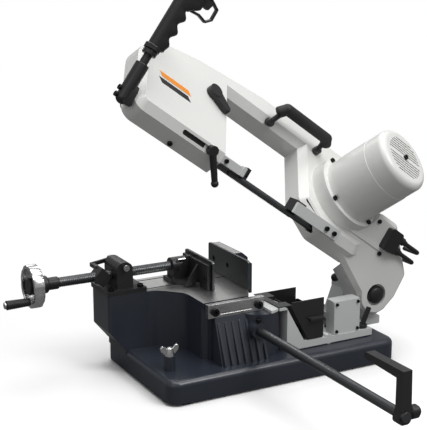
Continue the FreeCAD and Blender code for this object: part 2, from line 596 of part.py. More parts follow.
DRIVE, IDLER = size("drive_u"), size("idler_u")
RADIUS = size("wheel_radius")
FRONT_N, BACK_N = size("bow_front"), -size("bow_back")
WALL = size("bow_wall")
BACKBONE = -81
COVER_KNOBS = [(400, -126), (698, 68)]
FLANGE_RADIUS, FLANGE_SCREW_RADIUS = 81, 74.5
MOTOR_SCREWS = [(DRIVE + FLANGE_SCREW_RADIUS * math.cos(math.radians(a)),
                 FLANGE_SCREW_RADIUS * math.sin(math.radians(a))) for a in (45, 135, 225, 315)]
GUIDE_W = 53
LEVER_U, LEVER_DOWN = 540, -40
# the carry handle: its left foot (u, y, w) on the backbone, its right foot (u, down) on the sloping
# front, and the level of its grip
LEFT_FOOT, RIGHT_FOOT = (374, -46.5, 187.5), (240, -88)
GRIP_Y, GRIP_W, GRIP_ENDS = -14, 240, (222, 382)
HINGE_DOWN = -157
PISTOL_U, PISTOL_Y = 735, 72
PISTOL_SCREWS = (42, 56)


def bow_outline(inset):
    """The bow seen on the wheel faces (u, down), drawn smaller by the inset."""
    left = f"idler_u + wheel_radius + 10 - {inset}"
    right = f"idler_u - wheel_radius - 8 + {inset}"
    low = f"wheel_radius + 10 - {inset}"
    under, top = BACKBONE - inset, -150 + inset
    return [(left, low), (right, low), (right, under), (278 - inset, under), (278 - inset, 60),
            (225 - inset / 2, 112 - inset), (115 + inset / 2, 112 - inset), (56 + inset, 60),
            (56 + inset, -66), (122 + inset, top), (400, top), (575, top + 26), (662, top + 50),
            (left, -56)]


def bow_rounds(inset):
    """The outline's rounded corners: the idler end, the top, the drive box and the pivot end."""
    return [((0,), 24 - inset), ((13, 12, 11), 60 - inset), ((4, 5, 6, 7, 8), 20 - inset),
            ((9,), 30 - inset)]


def lower_front_edge(n):
    """Picks the long level edges of the front face that look down."""
    def choose(edge):
        ends = [v.Point for v in edge.Vertexes]
        if len(ends) != 2 or any(abs(p.z - n) > 0.01 for p in ends):
            return False
        level = abs(ends[0].y - ends[1].y) < 1
        return level and ends[0].y > BACKBONE - 12 and abs(ends[0].x - ends[1].x) > 60
    return choose


def bow_casting():
    shell = pad_body("bow_outer", bow_outline(0), "-bow_back", "bow_back + bow_front", WHEEL,
                     bow_rounds(0))
    dress(shell, "Chamfer", lower_front_edge(FRONT_N), "bow_chamfer")
    # the room inside, stepped to stay behind the chamfer
    steps = ((WALL, "bow_back + bow_front - bow_chamfer"),
             (3 * WALL, "bow_back + bow_front - bow_wall + 1"))
    core = fuse(*[pad_body("bow_core", bow_outline(inset), "-bow_back - 1", depth, WHEEL, bow_rounds(inset))
                  for inset, depth in steps])
    behind = pad_body("behind_bow", bow_outline(-2), "-bow_back - 120", 120, WHEEL)
    lug = pad_body("pivot_lug",
                   [(-44, -16), (-26, -42), (12, -42), (44, -18), (128, 20), (214, 30),
                    (214, 62), (150, 100), (90, 150), (40, 150), (-48, 72), (-52, 20)],
                   "-running_gap - 80", 64, HEAD_SIDE,
                   [((0, 1, 2, 10, 11), 14), ((3,), 30), ((8, 9), 16)])
    lug_front = -80 - GAP
    dress(lug, "Chamfer", lambda e: all(abs(v.Point.z - lug_front) < 0.01 for v in e.Vertexes), 9)
    lug_boss = cylinder(38, 66, at(HEAD_SIDE, 0, 0, -80.05))
    shaft_bore = cylinder("pivot_radius + running_gap + 3", 90, at(HEAD_SIDE, 0, 0, -90))
    recess = cylinder(24, 20, at(HEAD_SIDE, 0, 0, -92))
    gear_boss = cylinder(FLANGE_RADIUS, "motor_start - bow_front + 1", at(WHEEL, DRIVE, 0, FRONT_N - 1))
    gear_room = cylinder(64, 30, at(WHEEL, DRIVE, 0, 32))
    shaft_room = cylinder(20, 30, at(WHEEL, DRIVE, 0, 15))
    slot = [cylinder(5, 20, at(HEAD, u, 80, GUIDE_W, "y")) for u in (IDLER - 88, IDLER - 10)]
    slot_bar = box(78, 20, 10, at(HEAD, IDLER - 88, 80, GUIDE_W - 5))
    guide_room = box(172, 12.6, 18, at(HEAD, IDLER - 113, 72, GUIDE_W - 9))
    motor_room = cylinder(FLANGE_RADIUS + 0.3, 170, at(WHEEL, DRIVE, 0, size("motor_start")))
    windows = [box(14, 11.5, 26, at(HEAD, IDLER - 112, 74, GUIDE_W - 13)),
               box(14, 16, 18, at(HEAD, IDLER - 112, 64, size("blade_w") - 9)),
               box(34, 16, 18, at(HEAD, DRIVE + 54, 64, size("blade_w") - 9))]
    lever_bore = cylinder(6 + GAP, 20, at(WHEEL, LEVER_U, LEVER_DOWN, 15))
    foot_bores = [cylinder(3 + GAP, 24, at(HEAD, *LEFT_FOOT[:1], LEFT_FOOT[1] - 16, LEFT_FOOT[2], "y")),
                  cylinder(3 + GAP, 24, at(WHEEL, *RIGHT_FOOT, FRONT_N - 16))]
    pistol_bores = [cylinder(3 + GAP, 20, at(HEAD, 705, PISTOL_Y, w, "x")) for w in PISTOL_SCREWS]
    guide_bores = [cylinder(3 + GAP, 20, at(HEAD, u, 76, 54, "y")) for u in (192, 214)]
    knuckle = cut(cylinder(6, 96, at(WHEEL, 212, HINGE_DOWN, BACK_N - 2, "x")),
                  cylinder(3 + GAP, 120, at(WHEEL, 200, HINGE_DOWN, BACK_N - 2, "x")))
    web = box(96, 8, 6, at(WHEEL, 212, HINGE_DOWN, BACK_N - 1))
    web_bore = cylinder(3 + GAP, 120, at(WHEEL, 200, HINGE_DOWN, BACK_N - 2, "x"))
    pillars = [cylinder(6, "bow_back + bow_front - 2", at(WHEEL, u, y, BACK_N)) for u, y in COVER_KNOBS]
    pillar_bores = [cylinder(4.5, 24, at(WHEEL, u, y, BACK_N - 1)) for u, y in COVER_KNOBS]
    motor_bores = [cylinder(3 + GAP, 16, at(WHEEL, x, y, 37)) for x, y in MOTOR_SCREWS]
    arm = cut(fuse(lug, lug_boss), core, behind)
    body = fuse(cut(shell, core), arm, gear_boss, knuckle, web, *pillars)
    part("bow_casting", cut(body, web_bore, shaft_bore, recess, gear_room, shaft_room, *slot, slot_bar,
                            *windows, guide_room, motor_room, lever_bore, *foot_bores, *pistol_bores,
                            *guide_bores, *pillar_bores, *motor_bores))
    bushes = [cut(cylinder("pivot_radius + 3", 14, at(HEAD_SIDE, 0, 0, z)),
                  cylinder("pivot_radius + running_gap", 20, at(HEAD_SIDE, 0, 0, z - 2)))
              for z in (-71.9, -28.2)]
    part("pivot_bushes", group(*bushes))


def wheel_cover():
    plate = pad_body("cover_blank", bow_outline(0), "-bow_back - 4.05", 4, WHEEL,
                     bow_rounds(0))
    barrel = fuse(*[cylinder(6, 46, at(WHEEL, u, HINGE_DOWN, BACK_N - 2, "x")) for u in (165, 309)])
    tabs = [box(46, 12, 2.6, at(WHEEL, u, HINGE_DOWN, BACK_N - 4)) for u in (165, 309)]
    bore = cylinder(3 + GAP, 220, at(WHEEL, 150, HINGE_DOWN, BACK_N - 2, "x"))
    notch = box(98, 9, 12, at(WHEEL, 211, HINGE_DOWN, BACK_N - 8))
    bores = [cylinder(3.2, 20, at(WHEEL, u, y, BACK_N - 15)) for u, y in COVER_KNOBS]
    part("wheel_cover", cut(fuse(plate, barrel, *tabs), bore, notch, *bores))
    part("cover_hinge_pin", cylinder(3, 190, at(WHEEL, 165, HINGE_DOWN, BACK_N - 2, "x")))
    knobs = [fuse(cylinder(3, 4.9, at(WHEEL, u, y, BACK_N - 5)),
                  cylinder(12, 14, at(WHEEL, u, y, BACK_N - 18.2))) for u, y in COVER_KNOBS]
    part("cover_knobs", group(*knobs))


def wheels():
    def wheel(name, u, bore):
        rim, hub = RADIUS - 0.1, bore + 14
        blank = turned(name + "_blank",
                       [(bore, -10), (hub, -10), (hub, -3), (86, -3), (86, -8), (rim, -8),
                        (rim, 7), (86, 7), (86, 2), (hub, 2), (hub, 10), (bore, 10)],
                       at(WHEEL, u, 0, 0))
        turns = [math.radians(a) for a in range(0, 360, 60)]
        holes = [cylinder(13, 20, at(WHEEL, u + 58 * math.cos(t), 58 * math.sin(t), -9)) for t in turns]
        part(name, cut(blank, *holes))
    wheel("drive_wheel", DRIVE, 14)
    wheel("idler_wheel", IDLER, 12 + GAP)
    part("drive_shaft", fuse(cylinder(14, 48, at(WHEEL, DRIVE, 0, -10)),
                             cylinder(19, 4, at(WHEEL, DRIVE, 0, -14)),
                             cylinder(40, 10, at(WHEEL, DRIVE, 0, 34))))
    part("idler_slide", fuse(cylinder(12, 34, at(WHEEL, IDLER, 0, -13)),
                             cylinder(17, 4, at(WHEEL, IDLER, 0, -14.1)),
                             box(60, 24, 4, at(WHEEL, IDLER - 48, -12, 19.9))))


def blade():
    """The endless band: flat on the wheels and turned upright between the two guides.

    No primitive turns a strip about its own line, so the shape is lofted from the sheet's sizes.
    """
    half, thick = size("blade_width") / 2, size("blade_thickness")

    def section(u, lean):
        """The strip's cross-section on the cutting strand, leaning from upright by an angle."""
        strand = Vector(u, -size("blade_y"), size("blade_w"))
        place = HEAD * Placement(strand, Rotation(Vector(1, 0, 0), lean))
        corners = [Vector(0, y, z) for y, z in ((0, -half), (thick, -half), (thick, half), (0, half))]
        return Part.makePolygon([place.multVec(c) for c in corners + corners[:1]])

    stations = [(DRIVE, -45), (DRIVE + 14, -45), (278, 0), (500, 0), (IDLER - 28, -45), (IDLER, -45)]
    pieces = []
    for (u0, lean0), (u1, lean1) in zip(stations, stations[1:]):
        steps = max(1, round(abs(lean1 - lean0) / 5))
        for i in range(steps):
            a, b = ((u0 + (u1 - u0) * k / steps, lean0 + (lean1 - lean0) * k / steps)
                    for k in (i, i + 1))
            pieces.append(Part.makeLoft([section(*a), section(*b)], True, True))
    top = Part.makeBox(IDLER - DRIVE, thick, 2 * half)
    top.Placement = at(WHEEL, DRIVE, -RADIUS - thick, -half)
    pieces.append(top)
    for u, start in ((IDLER, 0), (DRIVE, 180)):
        ring = Part.makeCylinder(RADIUS + thick, 2 * half).cut(Part.makeCylinder(RADIUS, 2 * half))
        keep = Part.makeBox(2 * RADIUS, 4 * RADIUS, 2 * half, Vector(0, -2 * RADIUS, 0))
        bend = ring.common(keep)
        bend.Placement = at(WHEEL, u, 0, -half) * Placement(Vector(), Rotation(Vector(0, 0, 1), start))
        pieces.append(bend)
    band = doc.addObject("Part::Feature", "blade_band")
    band.Shape = pieces[0].multiFuse(pieces[1:]).removeSplitter()
    part("blade", band)


CABLE, CABLE_BEND = 4.5, 14


def motor():
    body = fuse(cylinder("motor_radius", "motor_split - motor_start - 0.05",
                         at(WHEEL, DRIVE, 0, size("motor_start") + 0.05)),
                cylinder(FLANGE_RADIUS, 8, at(WHEEL, DRIVE, 0, size("motor_start") + 0.05)))
    inside = cylinder("motor_radius - 7", 83, at(WHEEL, DRIVE, 0, 64))
    bore = cylinder(8 + GAP, 140, at(WHEEL, DRIVE, 0, 40))
    bores = [cylinder(3 + GAP, 40, at(WHEEL, x, y, 42)) for x, y in MOTOR_SCREWS]
    heads = [cylinder(6.5, 8, at(WHEEL, x, y, 60.05)) for x, y in MOTOR_SCREWS]
    part("motor_body", cut(body, inside, bore, *bores, *heads))
    screws = [socket_screw(3, 18, at(WHEEL, x, y, 60.1), 1.7) for x, y in MOTOR_SCREWS]
    cover = cylinder("motor_radius - 1", "motor_end - motor_split - 0.1",
                     at(WHEEL, DRIVE, 0, size("motor_split") + 0.1))
    rounded = doc.addObject("Part::Fillet", "fan_cover_blank")
    doc.recompute()
    rounded.Base = cover
    top = [k for k, e in enumerate(cover.Shape.Edges, 1)
           if len(e.Vertexes) == 1 and e.CenterOfMass.distanceToPoint(
               WHEEL.multVec(Vector(DRIVE, 0, size("motor_end")))) < 1]
    rounded.Edges = [(k, 14.0, 14.0) for k in top]
    room = cylinder("motor_radius - 5", "motor_end - motor_split - 8",
                    at(WHEEL, DRIVE, 0, size("motor_split") + 0.1))
    louvres = []
    for y in (y for y in range(-42, 43, 7) if y != 0):
        half = math.sqrt(50 ** 2 - y ** 2) - 3
        louvres.append(box(2 * half, 3.2, 20, at(WHEEL, DRIVE - half, y - 1.6, 195)))
    bolt_bore = cylinder(3 + GAP, 40, at(WHEEL, DRIVE, 0, 190))
    part("motor_fan_cover", cut(rounded, room, bolt_bore, *louvres))
    screws.append(socket_screw(3, 9, at(WHEEL, DRIVE, 0, size("motor_end")), 1.7))
    part("motor_screws", group(*screws))
    shaft = fuse(cylinder(8, 144, at(WHEEL, DRIVE, 0, 46.2)), cylinder(34, 64, at(WHEEL, DRIVE, 0, 72)))
    part("motor_rotor", shaft)
    hub = cylinder(16, 18, at(WHEEL, DRIVE, 0, 162))
    blades = [box(38, 2.5, 18, WHEEL * Placement(Vector(DRIVE, 0, 162), Rotation(Vector(0, 0, 1), a))
                  * Placement(Vector(14, -1.25, 0), Rotation())) for a in range(0, 360, 40)]
    part("motor_fan", cut(fuse(hub, *blades), cylinder(8, 30, at(WHEEL, DRIVE, 0, 158))))
    junction = pad_body("terminal_box_blank", [(28, 88), (62, 88), (62, 136), (28, 136)],
                        -98.1, 18, HEAD_SIDE, [((0, 1, 2, 3), 6)])
    glands = [fuse(cylinder(8.5, 12.1, at(HEAD, 15.9, 89, w, "x")),
                   cylinder(6, 20, at(HEAD, 8, 89, w, "x")))
              for w in (100, 124)]
    part("terminal_box", fuse(junction, *glands))
    cables = [fuse(cylinder(CABLE, 34, at(HEAD, -26.1, 89, w, "x")),
                   arc(CABLE_BEND, CABLE, 90, HEAD * Placement(Vector(-26.1, 89 - CABLE_BEND, w),
                                                               Rotation(Vector(0, 0, 1), 90))),
                   cylinder(CABLE, 40, at(HEAD, -26.1 - CABLE_BEND, 49 - CABLE_BEND, w, "y")))
              for w in (100, 124)]
    part("motor_cables", group(*cables))


def guides():
    arm = box(164, 5, 16.6, at(HEAD, 446, 79.3, GUIDE_W - 8.4))
    part("guide_arm", cut(arm, cylinder(3, 20, at(HEAD, 532, 76, GUIDE_W, "y"))))

    def guide(name, u, width, back, front, low, high):
        block = box(width, front - back, high - low, at(HEAD, u, back, low))
        slit = box(width + 4, 2.3, 40, at(HEAD, u - 2, 71.2, 47.2 - 40))
        part(name, cut(block, slit))

    guide("guide_head_left", 430, 15.9, 60, 88, 44, 72)
    guide("guide_head_right", 278.1, 26, 60, 90, 44.5, 70)
    bracket = box(126, 8, 23, at(HEAD, 178, 90, 43))
    bores = [cylinder(3 + GAP, 30, at(HEAD, u, 76, 54, "y")) for u in (192, 214)]
    part("guide_bracket", cut(bracket, *bores))
    stud = fuse(cylinder(4.5, 8, at(HEAD, 532, 84.35, GUIDE_W, "y")),
                cylinder(3 - GAP, 10, at(HEAD, 532, 79.5, GUIDE_W, "y")),
                cylinder(10, 14, at(HEAD, 532, 88.6, GUIDE_W, "y")))
    hanging = Rotation(Vector(0, 1, 0), 180 + size("rest_tilt") + 4)
    direction = HEAD * Placement(Vector(532, 96, GUIDE_W), hanging)
    arm = cone(7.5, 6, 62, direction)
    tip = ball(7.5, direction * Placement(Vector(0, 0, 64), Rotation()))
    part("guide_clamp_lever", fuse(stud, arm, tip))
    return [socket_screw(3, 16, at(HEAD, u, 98, 54, "y"), 1.7) for u in (192, 214)]


def tension():
    hub = cylinder(15, 14, at(WHEEL, LEVER_U, LEVER_DOWN, FRONT_N + 0.3))
    stem = cylinder(6, 19, at(WHEEL, LEVER_U, LEVER_DOWN, 12.5))
    cam = cylinder(11, 3, at(WHEEL, LEVER_U + 3, LEVER_DOWN, 12.5))
    turned_away = Rotation(Vector(0, 0, 1), 140)
    arm = pad_body("tension_arm", [(0, -14), (44, -7), (50, 0), (44, 7), (0, 14)], 0, 11,
                   WHEEL * Placement(Vector(LEVER_U, LEVER_DOWN, FRONT_N + 2), turned_away),
                   [((1, 2, 3), 3)])
    part("tension_lever", fuse(hub, stem, cam, arm))


def rod(radius, start, end):
    """A round bar between two points, with a ball at its end for the next bend."""
    along = end - start
    place = Placement(start, Rotation(Vector(0, 0, 1), along))
    return fuse(cylinder(radius, along.Length, place), ball(radius, Placement(end, Rotation())))


def carry_handle():
    """A bent bar on two round feet, each with a stud let into the bow."""
    right_foot = at(WHEEL, *RIGHT_FOOT, FRONT_N + 0.1)
    left_foot = at(HEAD, LEFT_FOOT[0], LEFT_FOOT[1], LEFT_FOOT[2], "y")
    corners = [left_foot.multVec(Vector(0, 0, 7.5)),
               HEAD.multVec(Vector(GRIP_ENDS[1], GRIP_Y, GRIP_W)),
               HEAD.multVec(Vector(GRIP_ENDS[0], GRIP_Y, GRIP_W)),
               right_foot.multVec(Vector(0, 0, 7.5))]
    bars = [rod(6, start, end) for start, end in zip(corners, corners[1:])]
    feet = [cylinder(9, 13.5, place) for place in (left_foot, right_foot)]
    studs = [cylinder(3, 14, place * Placement(Vector(0, 0, -11), Rotation()))
             for place in (left_foot, right_foot)]
    part("carry_handle", fuse(*bars, *feet, *studs))
    part("carry_handle_grip", cut(cylinder(13, 137, at(HEAD, GRIP_ENDS[0] + 14, GRIP_Y, GRIP_W, "x")),
                                  cylinder(6 + GAP, 170, at(HEAD, GRIP_ENDS[0] - 5, GRIP_Y, GRIP_W, "x"))))


def pistol_handle():
    foot = fuse(box(30, 26, 40, at(HEAD, 718.1, PISTOL_Y - 13, 34)),
                cylinder(13, 70, at(HEAD, PISTOL_U, PISTOL_Y, 46)))
    sleeve_bore = cylinder(8, 90, at(HEAD, PISTOL_U, PISTOL_Y, 60))
    bores = [cylinder(3 + GAP, 60, at(HEAD, 700, PISTOL_Y, w, "x")) for w in PISTOL_SCREWS]
    part("handle_bracket", cut(foot, sleeve_bore, *bores))
    part("handle_tube", cut(cylinder(8, 130, at(HEAD, PISTOL_U, PISTOL_Y, 66)),
                            cylinder(6, 140, at(HEAD, PISTOL_U, PISTOL_Y, 62))))
    grip = pad_body("pistol_grip_blank",
                    [(PISTOL_U - 26, 150), (PISTOL_U + 11, 150), (PISTOL_U + 11, 296),
                     (PISTOL_U - 40, 296), (PISTOL_U - 44, 262), (PISTOL_U - 24, 244)],
                    -PISTOL_Y - 12, 24, HEAD_SIDE, [((0, 1, 2, 3), 8), ((5,), 10)])
    guard_outer = pad_body("guard_outer",
                           [(PISTOL_U - 34, 292), (PISTOL_U - 34, 236), (PISTOL_U - 62, 226),
                            (PISTOL_U - 84, 246), (PISTOL_U - 84, 284)],
                           -PISTOL_Y - 5, 10, HEAD_SIDE, [((2, 3, 4), 10)])
    guard_inner = pad_body("guard_inner",
                           [(PISTOL_U - 30, 289), (PISTOL_U - 30, 240), (PISTOL_U - 60, 230.5),
                            (PISTOL_U - 79.5, 248), (PISTOL_U - 79.5, 281)],
                           -PISTOL_Y - 7, 14, HEAD_SIDE, [((2, 3, 4), 7)])
    room = cylinder(8, 60, at(HEAD, PISTOL_U, PISTOL_Y, 140))
    trigger_room = box(34, 10, 26, at(HEAD, PISTOL_U - 46, PISTOL_Y - 5, 262))
    part("pistol_grip", cut(fuse(grip, cut(guard_outer, guard_inner)), room, trigger_room))
    trigger = pad_body("trigger_blank",
                       [(PISTOL_U - 22, 264), (PISTOL_U - 22, 282), (PISTOL_U - 60, 282),
                        (PISTOL_U - 55, 264)],
                       -PISTOL_Y - 4.5, 9, HEAD_SIDE, [((2, 3), 3)])
    part("trigger", trigger)
    return [socket_screw(3, 34, at(HEAD, 748.1, PISTOL_Y, w, "x"), 1.7) for w in PISTOL_SCREWS]


base_casting()
vise_screws = fixed_jaw() + vise_bracket()
part("vise_screws", group(*vise_screws))
half_nut()
vise_screw()
moving_jaw()
stop()
wing_screw()
swivel_console()
electrical_box()
chip_tray()
console_screws = kerf_bar() + console_hardware()
part("console_screws", group(*console_screws))
bow_casting()
wheel_cover()
wheels()
blade()
motor()
tension()
carry_handle()
bow_screws = guides() + pistol_handle()
part("bow_screws", group(*bow_screws))


# ---------------------------------------------------------------- checks and files

doc.recompute()
for obj in doc.Objects:
    if any(state in ("Invalid", "Error") for state in obj.State):
        raise RuntimeError(f"{obj.Name} ({obj.Label}) is in state {obj.State}")
os.makedirs("parts", exist_ok=True)
for name, obj in parts.items():
    shape = obj.Shape
    if shape.isNull() or not shape.isValid() or not shape.Solids:
        raise RuntimeError(f"{name} has no valid solid")
    shape.exportStep(f"parts/{name}.step")
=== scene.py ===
import json
import math

import bmesh
import bpy
from mathutils import Matrix, Vector


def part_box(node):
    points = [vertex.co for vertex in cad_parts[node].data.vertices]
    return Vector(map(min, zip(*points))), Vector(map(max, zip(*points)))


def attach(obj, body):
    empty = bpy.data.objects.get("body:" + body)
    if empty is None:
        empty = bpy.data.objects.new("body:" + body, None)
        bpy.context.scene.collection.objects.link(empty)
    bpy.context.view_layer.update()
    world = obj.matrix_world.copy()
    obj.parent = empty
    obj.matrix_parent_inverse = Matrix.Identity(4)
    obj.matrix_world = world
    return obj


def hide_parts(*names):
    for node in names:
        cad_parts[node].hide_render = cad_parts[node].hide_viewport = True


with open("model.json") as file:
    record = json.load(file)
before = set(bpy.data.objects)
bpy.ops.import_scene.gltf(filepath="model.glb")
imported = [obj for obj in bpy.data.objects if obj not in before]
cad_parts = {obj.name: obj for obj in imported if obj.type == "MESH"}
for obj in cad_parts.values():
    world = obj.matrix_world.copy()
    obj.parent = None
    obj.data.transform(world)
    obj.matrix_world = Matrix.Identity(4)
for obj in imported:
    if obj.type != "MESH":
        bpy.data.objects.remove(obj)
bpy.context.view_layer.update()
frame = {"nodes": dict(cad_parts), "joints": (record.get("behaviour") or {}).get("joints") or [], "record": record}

# ---------------------------------------------------------------- the object's own frames, in metres

MM = 0.001
JOINTS = {joint["name"]: joint for joint in frame["joints"]}
SLOTS = {row["node"]: row["material_slot"] for row in frame["record"]["subparts"]}


def axis_of(name):
    return Vector(JOINTS[name]["axis"]).normalized()


def point_of(name):
    return Vector(JOINTS[name]["pos_m"])


def axes_at(origin, x, y, z):
    """A frame whose columns are the three axes."""
    matrix = Matrix((x, y, z)).transposed().to_4x4()
    matrix.translation = origin
    return matrix


FLOOR = Matrix.Identity(4)
# local x, y, z = world X, Z, -Y: outlines seen from the front
FRONT = Matrix(((1, 0, 0, 0), (0, 0, -1, 0), (0, 1, 0, 0), (0, 0, 0, 1)))
BOW_U = axis_of("guide_slide")
TO_OPERATOR = Vector((0, -1, 0))
# x along the bow from the pivot, y towards the operator, z up from the bow
HEAD = axes_at(point_of("head_tilt"), BOW_U, TO_OPERATOR, BOW_U.cross(TO_OPERATOR))
WHEEL_N = axis_of("drive_wheel_spin")
DRIVE_U = 0.170
# x along the bow, y across the wheels down to the cutting strand, z out of the wheels
WHEEL = axes_at(point_of("drive_wheel_spin") - DRIVE_U * BOW_U, BOW_U, WHEEL_N.cross(BOW_U), WHEEL_N)


def at(matrix, x=0.0, y=0.0, z=0.0, towards=None):
    """A frame moved to a local point in millimetres; its z axis may be turned to local x, y or z."""
    turned = {None: Matrix.Identity(4),
              "x": Matrix(((0, 0, 1, 0), (1, 0, 0, 0), (0, 1, 0, 0), (0, 0, 0, 1))),
              "y": Matrix(((0, 1, 0, 0), (0, 0, 1, 0), (1, 0, 0, 0), (0, 0, 0, 1)))}[towards]
    return matrix @ Matrix.Translation(Vector((x, y, z)) * MM) @ turned


# ---------------------------------------------------------------- materials


def new_material(name):
    material = bpy.data.materials.new(name)
    material.use_nodes = True
    return material, material.node_tree.nodes, material.node_tree.links


def surface(nodes):
    return nodes["Principled BSDF"]


def coordinates(nodes):
    return nodes.new("ShaderNodeTexCoord").outputs["Object"]


def noise(nodes, links, source, scale, detail=2.0, stretch=(1, 1, 1)):
    """A noise value in the object's own coordinates, per metre, stretched along its axes."""
    mapping = nodes.new("ShaderNodeMapping")
    mapping.inputs["Scale"].default_value = stretch
    texture = nodes.new("ShaderNodeTexNoise")
    texture.inputs["Scale"].default_value = scale
    texture.inputs["Detail"].default_value = detail
    links.new(source, mapping.inputs["Vector"])
    links.new(mapping.outputs["Vector"], texture.inputs["Vector"])
    return texture.outputs["Fac"]


def spread(nodes, links, value, low, high):
    """The value mapped from its middle range to low..high."""
    node = nodes.new("ShaderNodeMapRange")
    node.inputs["From Min"].default_value = 0.3
    node.inputs["From Max"].default_value = 0.7
    node.inputs["To Min"].default_value = low
    node.inputs["To Max"].default_value = high
    links.new(value, node.inputs["Value"])
    return node.outputs["Result"]


def bump(nodes, links, height, strength, distance):
    node = nodes.new("ShaderNodeBump")
    node.inputs["Strength"].default_value = strength
    node.inputs["Distance"].default_value = distance
    links.new(height, node.inputs["Height"])
    links.new(node.outputs["Normal"], surface(nodes).inputs["Normal"])


def paint(name, colour, roughness, grain=0.12, coat=0.25):
    """Sprayed paint: a fine orange-peel surface with slightly uneven gloss."""
    material, nodes, links = new_material(name)
    shader = surface(nodes)
    shader.inputs["Base Color"].default_value = (*colour, 1)
    shader.inputs["Coat Weight"].default_value = coat
    shader.inputs["Coat Roughness"].default_value = 0.2
    place = coordinates(nodes)
    uneven = noise(nodes, links, place, 14, 4)
    links.new(spread(nodes, links, uneven, roughness - 0.06, roughness + 0.08), shader.inputs["Roughness"])
    bump(nodes, links, noise(nodes, links, place, 700, 3), grain, 0.0004)
    return material


def steel(name, colour, roughness, stretch=(1, 1, 1), grain=0.08):
    """Bare metal with tool marks drawn out along one axis."""
    material, nodes, links = new_material(name)
    shader = surface(nodes)
    shader.inputs["Base Color"].default_value = (*colour, 1)
    shader.inputs["Metallic"].default_value = 1.0
    place = coordinates(nodes)
    marks = noise(nodes, links, place, 300, 4, stretch)
    links.new(spread(nodes, links, marks, roughness - 0.07, roughness + 0.1), shader.inputs["Roughness"])
    bump(nodes, links, marks, grain, 0.0003)
    return material


def plastic(name, colour, roughness, grain=0.2):
    """Moulded plastic or rubber with a fine leather-like texture."""
    material, nodes, links = new_material(name)
    shader = surface(nodes)
    shader.inputs["Base Color"].default_value = (*colour, 1)
    shader.inputs["Roughness"].default_value = roughness
    bump(nodes, links, noise(nodes, links, coordinates(nodes), 900, 3), grain, 0.0005)
    return material


def base_paint(name, colour, machined_above):
    """Dark paint, except that level faces above a height are machined bare."""
    material = paint(name, colour, 0.36, 0.25, 0.35)
    nodes, links = material.node_tree.nodes, material.node_tree.links
    painted = surface(nodes)
    bare = nodes.new("ShaderNodeBsdfPrincipled")
    bare.inputs["Base Color"].default_value = (0.56, 0.56, 0.55, 1)
    bare.inputs["Metallic"].default_value = 1.0
    marks = noise(nodes, links, coordinates(nodes), 260, 4, (0.05, 1, 1))
    links.new(spread(nodes, links, marks, 0.31, 0.38), bare.inputs["Roughness"])
    geometry = nodes.new("ShaderNodeNewGeometry")
    place, facing = (nodes.new("ShaderNodeSeparateXYZ") for _ in range(2))
    links.new(geometry.outputs["Position"], place.inputs[0])
    links.new(geometry.outputs["Normal"], facing.inputs[0])
    tests = []
    for value, limit in ((place.outputs["Z"], machined_above), (facing.outputs["Z"], 0.97)):
        test = nodes.new("ShaderNodeMath")
        test.operation = "GREATER_THAN"
        test.inputs[1].default_value = limit
        links.new(value, test.inputs[0])
        tests.append(test.outputs[0])
    both = nodes.new("ShaderNodeMath")
    both.operation = "MULTIPLY"
    links.new(tests[0], both.inputs[0])
    links.new(tests[1], both.inputs[1])
    mix = nodes.new("ShaderNodeMixShader")
    links.new(both.outputs[0], mix.inputs["Fac"])
    links.new(painted.outputs[0], mix.inputs[1])
    links.new(bare.outputs[0], mix.inputs[2])
    links.new(mix.outputs[0], nodes["Material Output"].inputs["Surface"])
    return material


TABLE_TOP = 0.168
MATERIALS = {
    "base_blue": base_paint("base_blue", (0.022, 0.027, 0.039), TABLE_TOP - 0.5 * MM),
    "head_white": paint("head_white", (0.72, 0.72, 0.70), 0.33),
    "console_grey": paint("console_grey", (0.60, 0.61, 0.61), 0.38),
    "bright_steel": steel("bright_steel", (0.58, 0.58, 0.57), 0.30, (0.1, 1, 1)),
    "polished": steel("polished", (0.74, 0.74, 0.74), 0.20, (1, 1, 1), 0.02),
    "dark_steel": steel("dark_steel", (0.13, 0.135, 0.14), 0.36, (0.1, 1, 1)),
    "oxide_screws": steel("oxide_screws", (0.035, 0.035, 0.038), 0.38),
    "black_paint": paint("black_paint", (0.016, 0.016, 0.018), 0.38, 0.2, 0.15),
    "black_plastic": plastic("black_plastic", (0.012, 0.012, 0.013), 0.42),
    "rubber": plastic("rubber", (0.010, 0.010, 0.011), 0.6, 0.35),
    "wheel_iron": steel("wheel_iron", (0.30, 0.30, 0.30), 0.45),
    "stripe_orange": paint("stripe_orange", (0.80, 0.28, 0.03), 0.3, 0.0),
    "bronze": steel("bronze", (0.55, 0.40, 0.20), 0.35),
}


# ---------------------------------------------------------------- mesh building


def smooth(mesh, angle=32):
    """Smooth shading with the real corners kept sharp."""
    mesh.polygons.foreach_set("use_smooth", [True] * len(mesh.polygons))
    mesh.set_sharp_from_angle(angle=math.radians(angle))


def piece(name, bm, body, slot, stands_for=(), edge=0.0, angle=32):
    """Turns a bmesh in metres into a finished piece on its body, with rounded edges in millimetres."""
    bmesh.ops.remove_doubles(bm, verts=bm.verts, dist=1e-6)
    bmesh.ops.recalc_face_normals(bm, faces=bm.faces)
    mesh = bpy.data.meshes.new(name)
    bm.to_mesh(mesh)
    bm.free()
    smooth(mesh, angle)
    obj = bpy.data.objects.new(name, mesh)
    bpy.context.scene.collection.objects.link(obj)
    mesh.materials.append(MATERIALS[slot])
    if edge:
        round_edges(obj, edge, angle)
    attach(obj, body)
    if stands_for:
        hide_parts(*stands_for)
    return obj


def round_edges(obj, width, angle=32, segments=2):
    bevel = obj.modifiers.new("edges", "BEVEL")
    bevel.width = width * MM
    bevel.segments = segments
    bevel.limit_method = "ANGLE"
    bevel.angle_limit = math.radians(angle)
    bevel.use_clamp_overlap = True
    normals = obj.modifiers.new("normals", "WEIGHTED_NORMAL")
    normals.keep_sharp = True


